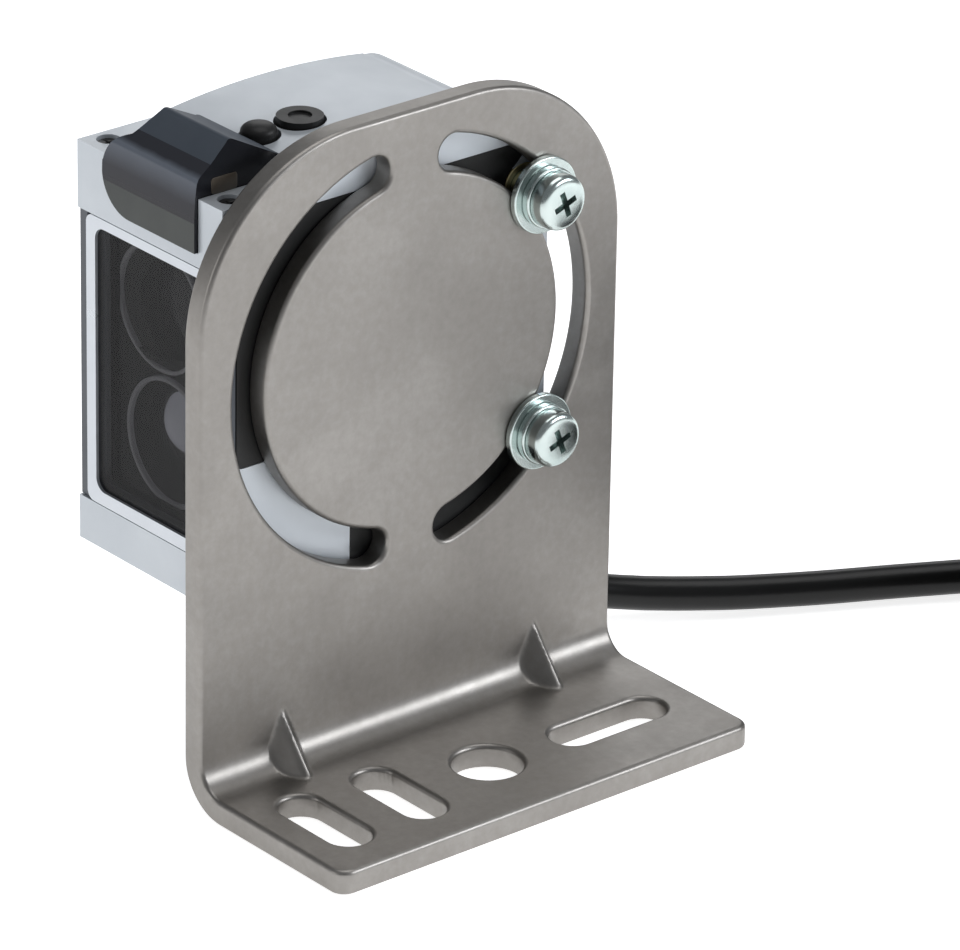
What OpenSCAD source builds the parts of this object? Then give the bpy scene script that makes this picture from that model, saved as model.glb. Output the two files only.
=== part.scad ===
// Photoelectric sensor on a slotted angle bracket.
// Frame: origin at the foot's round hole on the underside, +Z up,
// +X from the upright plate towards the foot's free edge, -Y the way the sensor looks.

/* [Bracket] */
// Width of the bracket
plate_w = 62; // [62:0.5:66]
// Height of the bracket
plate_h = 80; // [80:0.5:84]
// Thickness of the sheet
sheet_t = 3; // [3:0.1:3.2]
// Radius of the two top corners
top_r = 22; // [20:0.5:24]
// Inner radius of the bend
bend_r = 3.5; // [3:0.1:4]
// Foot length in front of the upright plate
foot_reach = 26; // [26:0.5:30]
// Height of the tilt centre above the underside
pivot_z = 50; // [50:0.1:51]
// Mean radius of the two arc slots
arc_r = 24; // [23.8:0.05:24.2]
// Width of the arc slots, for an M4 screw
arc_slot_w = 4.5; // [4.4:0.05:4.8]
// Half of the angle that an arc slot spans, to the centre of its end
arc_half = 76; // [74:0.5:77]
// Distance from the plate's outer face to the foot's hole line
hole_setback = 14.5; // [14.5:0.1:15]
// Diameter of the foot's round hole
base_hole_d = 8.5; // [8:0.1:9]
// Width of the foot's slots, for an M5 screw
foot_slot_w = 5.5; // [5.2:0.1:5.8]

/* [Sensor] */
// Width of the housing across the beam
body_w = 27; // [27:0.1:28]
// Front of the housing from the tilt centre
front_y = -25.5; // [-26:0.1:-25.5]
// Rear of the housing from the tilt centre
rear_y = 22.5; // [22.5:0.1:23]
// Underside of the housing below the tilt centre
bottom_z = -27.3; // [-27.5:0.1:-27.3]
// Wall thickness of the housing
wall = 1.6; // [1.4:0.1:1.7]
// Pitch of the two M4 clamp screws
screw_pitch = 30; // [29:0.1:31]

/* [Cable] */
// Outer diameter of the cable
cable_d = 4.3; // [4.3:0.05:4.4]

/* [Hidden] */
$fn = 48;

// Bracket planes
face_x = -hole_setback;
back_x = face_x - sheet_t;
foot_x = face_x + foot_reach;
bend_out = bend_r + sheet_t;
rib_y = 19;
foot_r = 1.5;
rib_d = 4.4;

// Foot slots: [x, y, straight length, turn]
foot_slots = [[-0.3, -24, 8.6, 0], [-0.3, -13, 8.6, 0], [0.5, 18, 11, 90]];

// Sensor planes, measured from the tilt centre
slip_gap = 0.1;
mid_x = back_x - slip_gap - body_w / 2;
side = body_w / 2;
block_top = 23;
crest_y = 2;
crest_z = 24.5;
crest_r = 100;
rear_r = 6;
hood_x = 9;
hood_back = -13.2;
screw_z = screw_pitch / 2;
screw_y = sqrt(arc_r * arc_r - screw_z * screw_z);
near_x = side + slip_gap + sheet_t;

// Front window and its rim
win_w = 21.7;
win_lo = -20.6;
win_hi = 13.9;
rim_w = 23.9;
rim_lo = -21.7;
rim_hi = 14.5;
rim_t = 2;
win_t = 1.5;
win_sink = 0.4;

front_wall = rim_t + 1.2;

// Black side panels
panel_t = 0.7;
panel_lo = -9.5;
panel_hi = 20.5;
panel_front = -23.4;
panel_rear = 21;

// Black block under the rear
block_y = -6.7;
block_z = -16.5;
slope_y = 13;
slope_rise = 5.5;
slope_a = atan2(slope_rise, rear_y - slope_y);
gland_x = 1;
gland_y = (slope_y + rear_y) / 2;
gland_z = bottom_z + slope_rise / 2;
seal_t = 0.35;

// Controls on the top
button_y = -9.7;
button_d = 4.4;
key_y = -3.7;
key_d = 5.6;
key_axis_z = 23.4;
floor_z = 17.5;

// Cable route in the row's frame, from the clamp inside the rear block to the coil
lead_route = [
    [-30.1, 14.65, 30.82], [-30.1, 18.2, 24.7], [-30.1, 21.8, 18.5], [-30.1, 23.3, 15.9], [-29.9, 25.0, 13.0], [-29.6, 26.9, 10.2],
    [-29.0, 29.1, 7.9], [-28.2, 31.7, 6.2], [-27.1, 34.6, 5.0], [-25.8, 37.6, 4.2],
    [-24.3, 40.7, 3.6], [-22.6, 43.8, 3.15], [-20.8, 47.0, 2.85],
];
run_route = [
    [-20.77, 47.055, 2.85], [-18.7, 50.7, 2.6], [-16.6, 54.5, 2.4], [-12.3, 62.7, 2.2], [-8.1, 70.9, 2.2],
    [-3.8, 79.0, 2.2], [0.9, 87.8, 2.2], [4.4, 94.5, 2.2], [6.9, 99.2, 2.2],
];

// Coil beside the end of the run
coil_pitch = 4.4;
coil_r = 22;
coil_cols = 3;
coil_rows = 4;
coil_in = coil_r - coil_pitch * coil_cols / 2;
coil_out = coil_r + coil_pitch * coil_cols / 2;
coil_h = coil_pitch * coil_rows;
coil_at = [30.2, 86.8];
// Two more turns lie on the coil's outer part, and the cable's end and its bare leads on its
// inner part
top_in = coil_in + coil_pitch;
top_h = coil_h + coil_pitch;
tail_r = coil_r - coil_pitch;
tail_z = coil_h + 2.25;
tail_route = [
    for (a = [130 : -8 : -94])
        [coil_at[0] + tail_r * cos(a), coil_at[1] + tail_r * sin(a), tail_z]
];

// ---- shared shapes -------------------------------------------------------------------------

// Rectangle with round corners, centred
module round_rect(w, h, r) {
    square([w - 2 * r, h], center = true);
    square([w, h - 2 * r], center = true);
    for (x = [-1, 1], y = [-1, 1])
        translate([x * (w / 2 - r), y * (h / 2 - r)])
            circle(r);
}

// Straight slot along x: s is the distance between its end centres
module slot_2d(s, w) {
    square([s, w], center = true);
    for (x = [-s / 2, s / 2])
        translate([x, 0])
            circle(w / 2);
}

// Puts a drawing made in y and z on a plane of constant x, and gives it a thickness
module along_x(t) {
    rotate([90, 0, 90])
        linear_extrude(t)
            children();
}

// Puts a drawing made in x and z on a plane of constant y, growing towards +y
module along_y(t) {
    translate([0, t, 0])
        rotate([90, 0, 0])
            linear_extrude(t)
                children();
}

// Moves a piece drawn from the tilt centre to its place in the row's frame
module in_sensor() {
    translate([mid_x, 0, pivot_z])
        children();
}

// Round tube swept along a list of points
function unit(v) = v / norm(v);
function heading(p, i) =
    i == 0 ? unit(p[1] - p[0])
    : i == len(p) - 1 ? unit(p[i] - p[i - 1])
    : unit(unit(p[i] - p[i - 1]) + unit(p[i + 1] - p[i]));
function ring(c, d, r, n) =
    let (s = unit(cross(d, [0, 0, 1])), u = cross(s, d))
    [for (k = [0 : n - 1]) c + r * (cos(360 * k / n) * s + sin(360 * k / n) * u)];
module swept_tube(p, d, n = 10) {
    m = len(p);
    rings = [for (i = [0 : m - 1]) each ring(p[i], heading(p, i), d / 2, n)];
    sides = [
        for (i = [0 : m - 2], k = [0 : n - 1])
            let (a = i * n + k, b = i * n + (k + 1) % n)
            [a, a + n, b + n, b]
    ];
    caps = [[for (k = [0 : n - 1]) k], [for (k = [n - 1 : -1 : 0]) (m - 1) * n + k]];
    polyhedron(rings, concat(sides, caps), convexity = 6);
}

// ---- bracket -------------------------------------------------------------------------------

module plate_outline() {
    w = plate_w;
    translate([-w / 2, bend_out])
        square([w, plate_h - top_r - bend_out]);
    translate([-w / 2 + top_r, bend_out])
        square([w - 2 * top_r, plate_h - bend_out]);
    for (y = [-1, 1])
        translate([y * (w / 2 - top_r), plate_h - top_r])
            circle(top_r, $fn = 96);
}

// Foot in plan, from the end of the bend, with its two outer corners rounded
module foot_outline() {
    reach = foot_x - back_x - bend_out;
    translate([0, -plate_w / 2])
        square([reach - foot_r, plate_w]);
    translate([0, foot_r - plate_w / 2])
        square([reach, plate_w - 2 * foot_r]);
    for (y = [-1, 1])
        translate([reach - foot_r, y * (plate_w / 2 - foot_r)])
            circle(foot_r);
}

// One arc slot about the tilt centre, opening towards turn
module arc_slot(turn) {
    far = 2 * arc_r;
    translate([0, pivot_z])
        rotate(turn) {
            intersection() {
                difference() {
                    circle(arc_r + arc_slot_w / 2, $fn = 120);
                    circle(arc_r - arc_slot_w / 2, $fn = 120);
                }
                polygon([
                    [0, 0], [far * cos(arc_half), -far * sin(arc_half)], [far * 2, -far],
                    [far * 2, far], [far * cos(arc_half), far * sin(arc_half)],
                ]);
            }
            for (a = [-arc_half, arc_half])
                translate([arc_r * cos(a), arc_r * sin(a)])
                    circle(arc_slot_w / 2 - 0.02);
        }
}

// Bar across the bend: its crest runs from the plate to the foot, lowered by sink
module bend_bar(y, r, sink) {
    run = 6.4;
    rise = 5.7;
    long = norm([run, rise]);
    translate([face_x + run / 2, y, sheet_t + rise / 2])
        rotate([0, 90 + atan2(rise, run), 0])
            translate([r + sink, 0, 0])
                cylinder(h = long * 2, r = r, center = true);
}

module bracket_plate() {
    color([0.58, 0.56, 0.54])
        translate([back_x, 0, 0])
            along_x(sheet_t)
                difference() {
                    plate_outline();
                    arc_slot(0);
                    arc_slot(180);
                }
}

// Block that keeps a gusset inside the bend's own stretch of the sheet, above the foot or
// before the plate
module bend_room() {
    translate([back_x + 1.5, -plate_w / 2, 1.5])
        cube([20, plate_w, bend_out - 1.5]);
    translate([face_x, -plate_w / 2, 1.5])
        cube([20, plate_w, 20]);
}

module bracket_bend() {
    color([0.58, 0.56, 0.54])
        difference() {
            union() {
                translate([back_x + bend_out, plate_w / 2, bend_out])
                    rotate([90, 0, 0])
                        rotate([0, 0, 180])
                            rotate_extrude(angle = 90, $fn = 96)
                                translate([bend_r, 0])
                                    square([sheet_t, plate_w]);
                intersection() {
                    for (y = [-rib_y, rib_y])
                        bend_bar(y, rib_d / 2, 0);
                    bend_room();
                    union() {
                        translate([back_x, -plate_w / 2, 0])
                            cube([bend_out, plate_w, 20]);
                        translate([back_x, -plate_w / 2, sheet_t])
                            cube([20, plate_w, 20]);
                    }
                }
            }
            // the dents that the gussets leave on the outside of the bend
            for (y = [-rib_y, rib_y])
                bend_bar(y, 1.5, 3.8);
        }
}

module bracket_foot() {
    color([0.58, 0.56, 0.54])
        difference() {
            translate([back_x + bend_out, 0, 0])
                linear_extrude(sheet_t)
                    foot_outline();
            translate([0, 0, -1])
                cylinder(h = sheet_t + 2, d = base_hole_d);
            for (s = foot_slots)
                translate([s[0], s[1], -1])
                    rotate([0, 0, s[3]])
                        linear_extrude(sheet_t + 2)
                            slot_2d(s[2], foot_slot_w);
        }
}

// ---- clamp hardware ------------------------------------------------------------------------

washer_t = 0.9;
spring_t = 1.1;
head_t = 2.4;
seat = near_x + 0.05;

module at_screws() {
    for (z = [-screw_z, screw_z])
        translate([0, screw_y, z])
            rotate([0, 90, 0])
                children();
}

module plain_washers() {
    color([0.80, 0.83, 0.80])
        in_sensor()
            at_screws()
                translate([0, 0, seat])
                    difference() {
                        cylinder(h = washer_t, d = 9.4);
                        translate([0, 0, -1])
                            cylinder(h = 3, d = 4.3);
                    }
}

module spring_washers() {
    color([0.70, 0.73, 0.71])
        in_sensor()
            at_screws()
                translate([0, 0, seat + washer_t])
                    difference() {
                        cylinder(h = spring_t, d = 7.4);
                        translate([0, 0, -1])
                            cylinder(h = 3, d = 4.3);
                        translate([0, -0.35, -1])
                            cube([5, 0.7, 3]);
                    }
}

module clamp_screws() {
    top = seat + washer_t + spring_t;
    shank = 12.8;
    color([0.72, 0.78, 0.78])
        in_sensor()
            at_screws()
                difference() {
                    union() {
                        translate([0, 0, top - shank])
                            cylinder(h = shank + 0.5, d = 4);
                        translate([0, 0, top])
                            cylinder(h = head_t - 0.6, d = 6.8);
                        translate([0, 0, top + head_t - 0.6])
                            cylinder(h = 0.6, d1 = 6.8, d2 = 5.2);
                    }
                    for (a = [0, 90])
                        rotate([0, 0, a + 20])
                            translate([-2, -0.45, top + head_t - 1.5])
                                cube([4, 0.9, 2]);
                }
}

// ---- housing -------------------------------------------------------------------------------

// Side outline of the housing in y and z, drawn in by g on every side
module side_outline(g) {
    low = bottom_z + g;
    translate([front_y + g, low])
        square([hood_back - front_y, block_top - g - low]);
    intersection() {
        union() {
            translate([hood_back, low])
                square([rear_y - rear_r - hood_back, 60]);
            translate([hood_back, low])
                square([rear_y - g - hood_back, 17.3 - low]);
            translate([rear_y - rear_r, 17.3])
                circle(rear_r - g);
        }
        translate([crest_y, crest_z - crest_r])
            circle(crest_r - g, $fn = 360);
    }
}

// The step under the rear where the black block sits, in y and z
module rear_step(g) {
    translate([block_y - g, bottom_z - 1])
        square([rear_y - block_y + 2, block_z - bottom_z + 1 + g]);
}

module housing() {
    color([0.76, 0.78, 0.81])
        in_sensor()
            difference() {
                translate([-side, 0, 0])
                    along_x(body_w)
                        difference() {
                            side_outline(0);
                            rear_step(0);
                        }
                // hollow inside
                translate([-side + wall, 0, 0])
                    along_x(body_w - 2 * wall)
                        difference() {
                            side_outline(wall);
                            rear_step(wall);
                            translate([front_y, bottom_z])
                                square([front_wall, 60]);
                        }
                // passage for the wires into the rear block
                translate([-4, 4, block_z - 1])
                    cube([8, 8, 4]);
                for (s = [-1, 1])
                    translate([s * 11, 4, block_z - 1])
                        cylinder(h = 4, d = 2.3);
                // front opening behind the window
                translate([-win_w / 2 + 0.8, front_y - 1, win_lo + 0.8])
                    cube([win_w - 1.6, 5, win_hi - win_lo - 1.6]);
                // seat of the bezel and of the dark edge strips
                translate([-side - 1, front_y - 1, rim_lo - 0.1])
                    cube([body_w + 2, rim_t + 1, rim_hi - rim_lo + 0.2]);
                // notch for the display hood, right through the top
                translate([0, front_y - 1, 0])
                    along_y(hood_back + 0.1 - front_y + 1) {
                        hood_face(0.1);
                        translate([hood_left - 0.1, hood_low + cheek_r])
                            square([hood_x - hood_left + 0.2, 8]);
                    }
                // openings for the button and the key
                translate([0, button_y, 10])
                    cylinder(h = 20, d = button_d + 0.8);
                translate([0, key_y, 10])
                    cylinder(h = 20, d = key_d + 0.6);
                translate([0, key_y, key_axis_z])
                    rotate([0, 90, 0])
                        cylinder(h = 8.2, d = 1.04, center = true);
                // recesses for the side panels
                for (s = [-1, 1])
                    translate([s * (side - panel_t / 2 + 0.5), 0, 0])
                        panel_block(panel_t + 1, 0.1);
                // holes for the four thread inserts
                for (s = [-1, 1], z = [-screw_z, screw_z])
                    translate([s * side, screw_y, z])
                        rotate([0, 90, 0])
                            cylinder(h = 20, d = 5.6, center = true);
                // counterbored holes for the corner screws
                for (s = [-1, 1])
                    translate([s * 11.25, -22.7, 10]) {
                        cylinder(h = 20, d = 1.7);
                        translate([0, 0, block_top - 10 - 1.2])
                            cylinder(h = 5, d = 2.9);
                    }
            }
}

// Flat block that fills a side panel's recess, t thick and centred on x = 0
module panel_block(t, g) {
    translate([-t / 2, 0, 0])
        along_x(t)
            difference() {
                translate([(panel_front + panel_rear) / 2, (panel_lo + panel_hi) / 2])
                    round_rect(panel_rear - panel_front + 2 * g, panel_hi - panel_lo + 2 * g, 1);
                // clear of the rounded rear top corner
                translate([rear_y - 1.2, panel_hi - 3])
                    rotate(45)
                        square([6, 6], center = true);
            }
}

module side_plate(s) {
    color([0.10, 0.10, 0.11])
        in_sensor()
            difference() {
                translate([s * (side - panel_t / 2), 0, 0])
                    panel_block(panel_t, 0);
                for (z = [-screw_z, screw_z])
                    translate([s * side, screw_y, z])
                        rotate([0, 90, 0])
                            cylinder(h = 6, d = 6.2, center = true);
            }
}

module side_plate_near() { side_plate(1); }
module side_plate_far() { side_plate(-1); }

module thread_inserts() {
    color([0.75, 0.68, 0.45])
        in_sensor()
            for (s = [-1, 1], z = [-screw_z, screw_z])
                translate([s * (side - 3), screw_y, z])
                    rotate([0, 90, 0])
                        difference() {
                            cylinder(h = 6, d = 5.56, center = true);
                            cylinder(h = 8, d = 4.02, center = true);
                        }
}

module corner_screws() {
    color([0.15, 0.15, 0.16])
        in_sensor()
            for (s = [-1, 1])
                translate([s * 11.25, -22.7, 0])
                    difference() {
                        union() {
                            translate([0, 0, block_top - 1.2])
                                cylinder(h = 0.8, d = 2.6);
                            translate([0, 0, block_top - 6.2])
                                cylinder(h = 5.1, d = 1.6);
                        }
                        for (a = [0, 90])
                            rotate([0, 0, a])
                                translate([-0.8, -0.15, block_top - 0.8])
                                    cube([1.6, 0.3, 1]);
                    }
}

// ---- front ---------------------------------------------------------------------------------

module win_shape(g, r) {
    translate([0, (win_lo + win_hi) / 2])
        round_rect(win_w + 2 * g, win_hi - win_lo + 2 * g, r);
}

module front_bezel() {
    color([0.80, 0.81, 0.83])
        in_sensor()
            translate([0, front_y, 0])
                difference() {
                    along_y(rim_t)
                        translate([0, (rim_lo + rim_hi) / 2])
                            round_rect(rim_w, rim_hi - rim_lo, 1.2);
                    translate([0, -1, 0])
                        along_y(rim_t + 2)
                            win_shape(-0.6, 1.6);
                    translate([0, win_sink, 0])
                        along_y(rim_t + 1)
                            win_shape(0.05, 2);
                }
}

module front_window() {
    color([0.16, 0.16, 0.17, 0.9])
        in_sensor()
            translate([0, front_y + win_sink, 0])
                along_y(win_t)
                    win_shape(-0.02, 1.95);
}

module window_gasket() {
    color([0.08, 0.08, 0.08])
        in_sensor()
            translate([0, front_y + rim_t, 0])
                difference() {
                    along_y(0.6)
                        win_shape(-0.9, 1.4);
                    translate([0, -1, 0])
                        along_y(3)
                            win_shape(-1.9, 0.6);
                }
}

module edge_trims() {
    w = side - rim_w / 2 - 0.05;
    color([0.20, 0.21, 0.23])
        in_sensor()
            for (s = [-1, 1])
                translate([s * (side - w / 2), front_y + 0.3 + 0.85, (rim_lo + rim_hi) / 2])
                    cube([w, 1.7, rim_hi - rim_lo], center = true);
}

// ---- display hood --------------------------------------------------------------------------

hood_low = 16.4;
brow_r = 1.4;
brow = [-24.6, 24.63];
nape_r = 1.3;
nape = [-21.1, 27.9];
hood_fall = 28;
cheek_r = 5;
hood_left = -8.2;
module hood_outline(g) {
    across = nape - brow;
    lean = atan2(across[1], across[0]) + acos((brow_r - nape_r) / norm(across));
    out = [cos(lean), sin(lean)];
    back = nape + (nape_r - g) * [sin(hood_fall), cos(hood_fall)];
    translate(brow)
        circle(brow_r - g);
    translate(nape)
        circle(nape_r - g);
    polygon([
        [brow[0] - brow_r + g, hood_low + g], [hood_back - g, hood_low + g],
        [hood_back - g, back[1] - tan(hood_fall) * (hood_back - g - back[0])], back,
        nape + (nape_r - g) * out, brow + (brow_r - g) * out, brow,
        [brow[0] - brow_r + g, brow[1]],
    ]);
}

// Front view of the hood: a round lower corner and a sloping shoulder on its left
module hood_face(g) {
    translate([hood_left + cheek_r, hood_low - g])
        square([hood_x - hood_left - cheek_r + g, cheek_r + 1 + g]);
    translate([hood_left + cheek_r, hood_low + cheek_r])
        circle(cheek_r + g);
    polygon([
        [hood_left - g, hood_low + cheek_r], [hood_x + g, hood_low + cheek_r],
        [hood_x + g, 32], [-2.8 - 0.87 * g, 32], [-2.8 - 0.87 * g, 29.3 + 0.5 * g],
        [-4.7 - 0.8 * g, 26.1 + 0.5 * g], [hood_left - g, 22.3 + 0.4 * g],
    ]);
}

module display_cover() {
    color([0.17, 0.18, 0.20, 0.95])
        in_sensor()
            difference() {
                intersection() {
                    translate([-hood_x, 0, 0])
                        along_x(2 * hood_x)
                            hood_outline(0);
                    translate([0, -30, 0])
                        along_y(20)
                            hood_face(0);
                }
                intersection() {
                    translate([-hood_x + 1.2, 0, 0])
                        along_x(2 * hood_x - 2.4)
                            hood_outline(1.2);
                    translate([0, -30, 0])
                        along_y(20)
                            hood_face(-1.2);
                }
                translate([hood_left + cheek_r, -23.5, hood_low - 0.5])
                    cube([hood_x - hood_left - cheek_r - 1.2, 8.7, 2]);
            }
}

module display_gasket() {
    color([0.07, 0.07, 0.07])
        in_sensor()
            translate([0, -18.2, hood_low - 0.3])
                difference() {
                    cube([17, 7.8, 0.6], center = true);
                    cube([14, 5.6, 2], center = true);
                }
}

module display_board() {
    color([0.10, 0.30, 0.18])
        in_sensor()
            translate([-3, -16.5, 15.6])
                cube([10, 1, 8.6]);
}

module display_module() {
    color([0.05, 0.06, 0.08])
        in_sensor()
            translate([-2.8, -19.5, 17])
                cube([9.6, 2.9, 6]);
}

module status_led() {
    color([0.95, 0.55, 0.15])
        in_sensor()
            translate([1.5, -17.6, 23.6])
                difference() {
                    cylinder(h = 1.8, d = 1.8);
                    translate([0, 0, 1.4])
                        cylinder(h = 1, d = 1);
                }
}

// ---- controls on the top -------------------------------------------------------------------

module button_switch() {
    color([0.30, 0.30, 0.32])
        in_sensor()
            translate([0, button_y, floor_z]) {
                translate([-2.2, -2.2, 0])
                    cube([4.4, 4.4, 1.6]);
                translate([0, 0, 1.6])
                    cylinder(h = 0.8, d = 1.8);
            }
}

module button_seal() {
    color([0.12, 0.12, 0.12])
        in_sensor()
            translate([0, button_y, 20.8])
                difference() {
                    cylinder(h = 0.7, d = 6.6);
                    translate([0, 0, -1])
                        cylinder(h = 3, d = 3.4);
                }
}

module set_button() {
    color([0.09, 0.09, 0.10])
        in_sensor()
            translate([0, button_y, 0])
                difference() {
                    union() {
                        translate([0, 0, 22.4])
                            cylinder(h = 3.1, d = button_d);
                        translate([0, 0, 20.8])
                            cylinder(h = 1.7, d = 3);
                    }
                    translate([0, 0, 25.2])
                        cylinder(h = 1, d = 3);
                }
}

module rocker_switches() {
    color([0.30, 0.30, 0.32])
        in_sensor()
            for (y = [-1.6, 1.6])
                translate([0, key_y + y, floor_z]) {
                    translate([-1.5, -1.3, 0])
                        cube([3, 2.6, 1.6]);
                    translate([0, 0, 1.6])
                        cylinder(h = 0.7, d = 1.1);
                }
}

module rocker_seal() {
    color([0.12, 0.12, 0.12])
        in_sensor()
            translate([0, key_y, 21.2])
                difference() {
                    translate([-3.8, -2.4, 0])
                        cube([7.6, 6, 0.6]);
                    translate([0, 0, -1])
                        cylinder(h = 3, d = 4.6);
                }
}

module rocker_pin() {
    color([0.65, 0.66, 0.67])
        in_sensor()
            translate([0, key_y, key_axis_z])
                rotate([0, 90, 0])
                    cylinder(h = 8, d = 1, center = true);
}

module rocker_key() {
    color([0.09, 0.09, 0.10])
        in_sensor()
            translate([0, key_y, 0])
                difference() {
                    union() {
                        translate([0, 0, 23.2])
                            cylinder(h = 1.75, d = key_d);
                        translate([0, 0, 20])
                            cylinder(h = 3.3, d = 3.8);
                    }
                    translate([0, 0, 24.65])
                        cylinder(h = 1, d = 2.8);
                    translate([0, 0, key_axis_z])
                        rotate([0, 90, 0])
                            cylinder(h = 8, d = 1.1, center = true);
                }
}

// ---- optics and boards ---------------------------------------------------------------------

emit_z = 5.3;
take_z = -10.5;

module optics_chassis() {
    color([0.14, 0.14, 0.15])
        in_sensor()
            difference() {
                translate([-11, front_y + 3.4, -21])
                    cube([22, 22, 34]);
                // tunnels for the outgoing and the incoming light
                translate([0, front_y + 3, emit_z])
                    rotate([-90, 0, 0])
                        cylinder(h = 18, d = 12);
                translate([0, front_y + 3, take_z])
                    rotate([-90, 0, 0])
                        cylinder(h = 13.4, d = 16.4);
                translate([0, front_y, emit_z])
                    rotate([-90, 0, 0])
                        cylinder(h = 40, d = 5.6);
                translate([0, front_y, take_z])
                    rotate([-90, 0, 0])
                        cylinder(h = 40, d = 6);
                // pocket for the baffle between the two paths
                translate([-9.2, front_y + 3, -2])
                    cube([18.4, 12, 1]);
                // clear of the step above the rear block
                translate([-12, block_y - wall - 0.3, -25])
                    cube([24, 20, 25 + block_z + wall + 0.2]);
            }
}

module lens(d, t) {
    intersection() {
        cylinder(h = t, d = d);
        translate([0, 0, t - 14])
            rotate_extrude($fn = 96)
                intersection() {
                    circle(14, $fn = 180);
                    translate([0, -14])
                        square([14, 28]);
                }
    }
}

module emitter_lens() {
    color([0.70, 0.75, 0.80, 0.5])
        in_sensor()
            translate([0, front_y + 7.6, emit_z])
                rotate([90, 0, 0])
                    lens(11.96, 3.2);
}

module receiver_lens() {
    color([0.70, 0.75, 0.80, 0.5])
        in_sensor()
            translate([0, front_y + 8.2, take_z])
                rotate([90, 0, 0])
                    lens(16.36, 4);
}

module laser_diode() {
    color([0.80, 0.70, 0.35])
        in_sensor()
            translate([0, front_y + 21.4, emit_z])
                rotate([-90, 0, 0])
                    union() {
                        cylinder(h = 3.8, d = 5.5);
                        for (x = [-1.2, 1.2])
                            translate([x, 0, 3.8])
                                cylinder(h = 1.5, d = 0.5);
                    }
}

module light_baffle() {
    color([0.05, 0.05, 0.05])
        in_sensor()
            translate([-9.1, front_y + 2.8, -1.9])
                cube([18.2, 11.8, 0.8]);
}

module receiver_chip() {
    color([0.12, 0.14, 0.20])
        in_sensor()
            translate([-2, front_y + 25.4, take_z - 2])
                cube([4, 1.4, 4]);
}

module receiver_board() {
    color([0.10, 0.30, 0.18])
        in_sensor()
            translate([-10.5, front_y + 26.8, -14.5])
                cube([21, 1.2, 29.5]);
}

module main_board() {
    color([0.10, 0.30, 0.18])
        in_sensor()
            translate([-10.5, -11, 15.9])
                cube([21, 24, 1.6]);
}

module board_connector() {
    color([0.85, 0.83, 0.76])
        in_sensor()
            translate([-5, 7.5, 11.7])
                cube([10, 4, 4.2]);
}

module ribbon() {
    color([0.80, 0.50, 0.15])
        in_sensor() {
            translate([-4, 2.5, 8])
                cube([8, 5, 0.3]);
            translate([-4, 7.2, 8])
                cube([8, 0.3, 3.7]);
        }
}

// ---- rear block and cable entry ------------------------------------------------------------

// Frame of the cable entry: its z axis points out of the sloping underside
module at_gland() {
    translate([gland_x, gland_y, gland_z])
        rotate([180 + slope_a, 0, 0])
            children();
}

// Scallops over the lower thread inserts
module insert_room() {
    for (s = [-1, 1])
        translate([s * (side - 3.5), screw_y, -screw_z])
            rotate([0, 90, 0])
                cylinder(h = 9, d = 6, center = true);
}

module rear_block() {
    color([0.09, 0.09, 0.10])
        in_sensor()
            difference() {
                translate([-side, 0, 0])
                    along_x(body_w)
                        polygon([
                            [block_y + 0.05, bottom_z], [slope_y, bottom_z],
                            [rear_y, bottom_z + slope_rise], [rear_y, block_z - seal_t],
                            [block_y + 0.05, block_z - seal_t],
                        ]);
                // hollow for the wires
                translate([-9, -3, bottom_z + 2])
                    cube([18, 15, 12]);
                // entry bore for the gland and the clamp
                at_gland()
                    translate([0, 0, -9])
                        cylinder(h = 12, d = 7);
                for (s = [-1, 1])
                    translate([s * 11, 4, bottom_z - 1])
                        cylinder(h = 20, d = 2.3);
                for (s = [-1, 1])
                    translate([s * 11, 4, bottom_z - 1])
                        cylinder(h = 3, d = 4.2);
                insert_room();
            }
}

module rear_gasket() {
    color([0.05, 0.05, 0.05])
        in_sensor()
            difference() {
                translate([-12.4, -5.5, block_z - seal_t + 0.02])
                    cube([24.8, 20.5, seal_t - 0.04]);
                translate([-9.5, -3.5, block_z - 1])
                    cube([19, 16.5, 3]);
                for (x = [-11, 11])
                    translate([x, 4, block_z - 1])
                        cylinder(h = 3, d = 2.3);
            }
}

module rear_screws() {
    color([0.60, 0.62, 0.63])
        in_sensor()
            for (s = [-1, 1])
                translate([s * 11, 4, bottom_z + 0.3])
                    union() {
                        cylinder(h = 1.6, d = 4);
                        cylinder(h = 12, d = 2.2);
                    }
}

module cable_gland() {
    color([0.07, 0.07, 0.07])
        in_sensor()
            at_gland()
                difference() {
                    union() {
                        translate([0, 0, -3])
                            cylinder(h = 3.2, d = 6.9);
                        cylinder(h = 1.6, d = 9);
                        translate([0, 0, 1.6])
                            cylinder(h = 6.4, d1 = 8, d2 = 5.6);
                    }
                    translate([0, 0, -4])
                        cylinder(h = 14, d = cable_d + 0.04);
                }
}

module cable_clamp() {
    color([0.65, 0.65, 0.66])
        in_sensor()
            at_gland()
                translate([0, 0, -6.2])
                    difference() {
                        cylinder(h = 2.6, d = 6.6);
                        translate([0, 0, -1])
                            cylinder(h = 5, d = cable_d + 0.04);
                    }
}

module inner_wires() {
    color([0.45, 0.25, 0.12])
        in_sensor()
            for (x = [-2.1, -0.7, 0.7, 2.1])
                translate([x, 8.5, -20])
                    cylinder(h = 31.6, d = 1);
}

// ---- cable ---------------------------------------------------------------------------------

module cable_lead() {
    color([0.06, 0.06, 0.06])
        swept_tube(lead_route, cable_d);
}

// Room that the coil takes, grown by g
module coil_block(g) {
    translate([coil_at[0], coil_at[1], 0.05 - g])
        rotate_extrude($fn = 96) {
            translate([coil_in - g, 0])
                square([coil_out - coil_in + 2 * g, coil_h + 2 * g]);
            translate([top_in + 0.05 - g, 0])
                square([coil_out - top_in - 0.05 + 2 * g, top_h + 2 * g]);
        }
}

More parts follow.
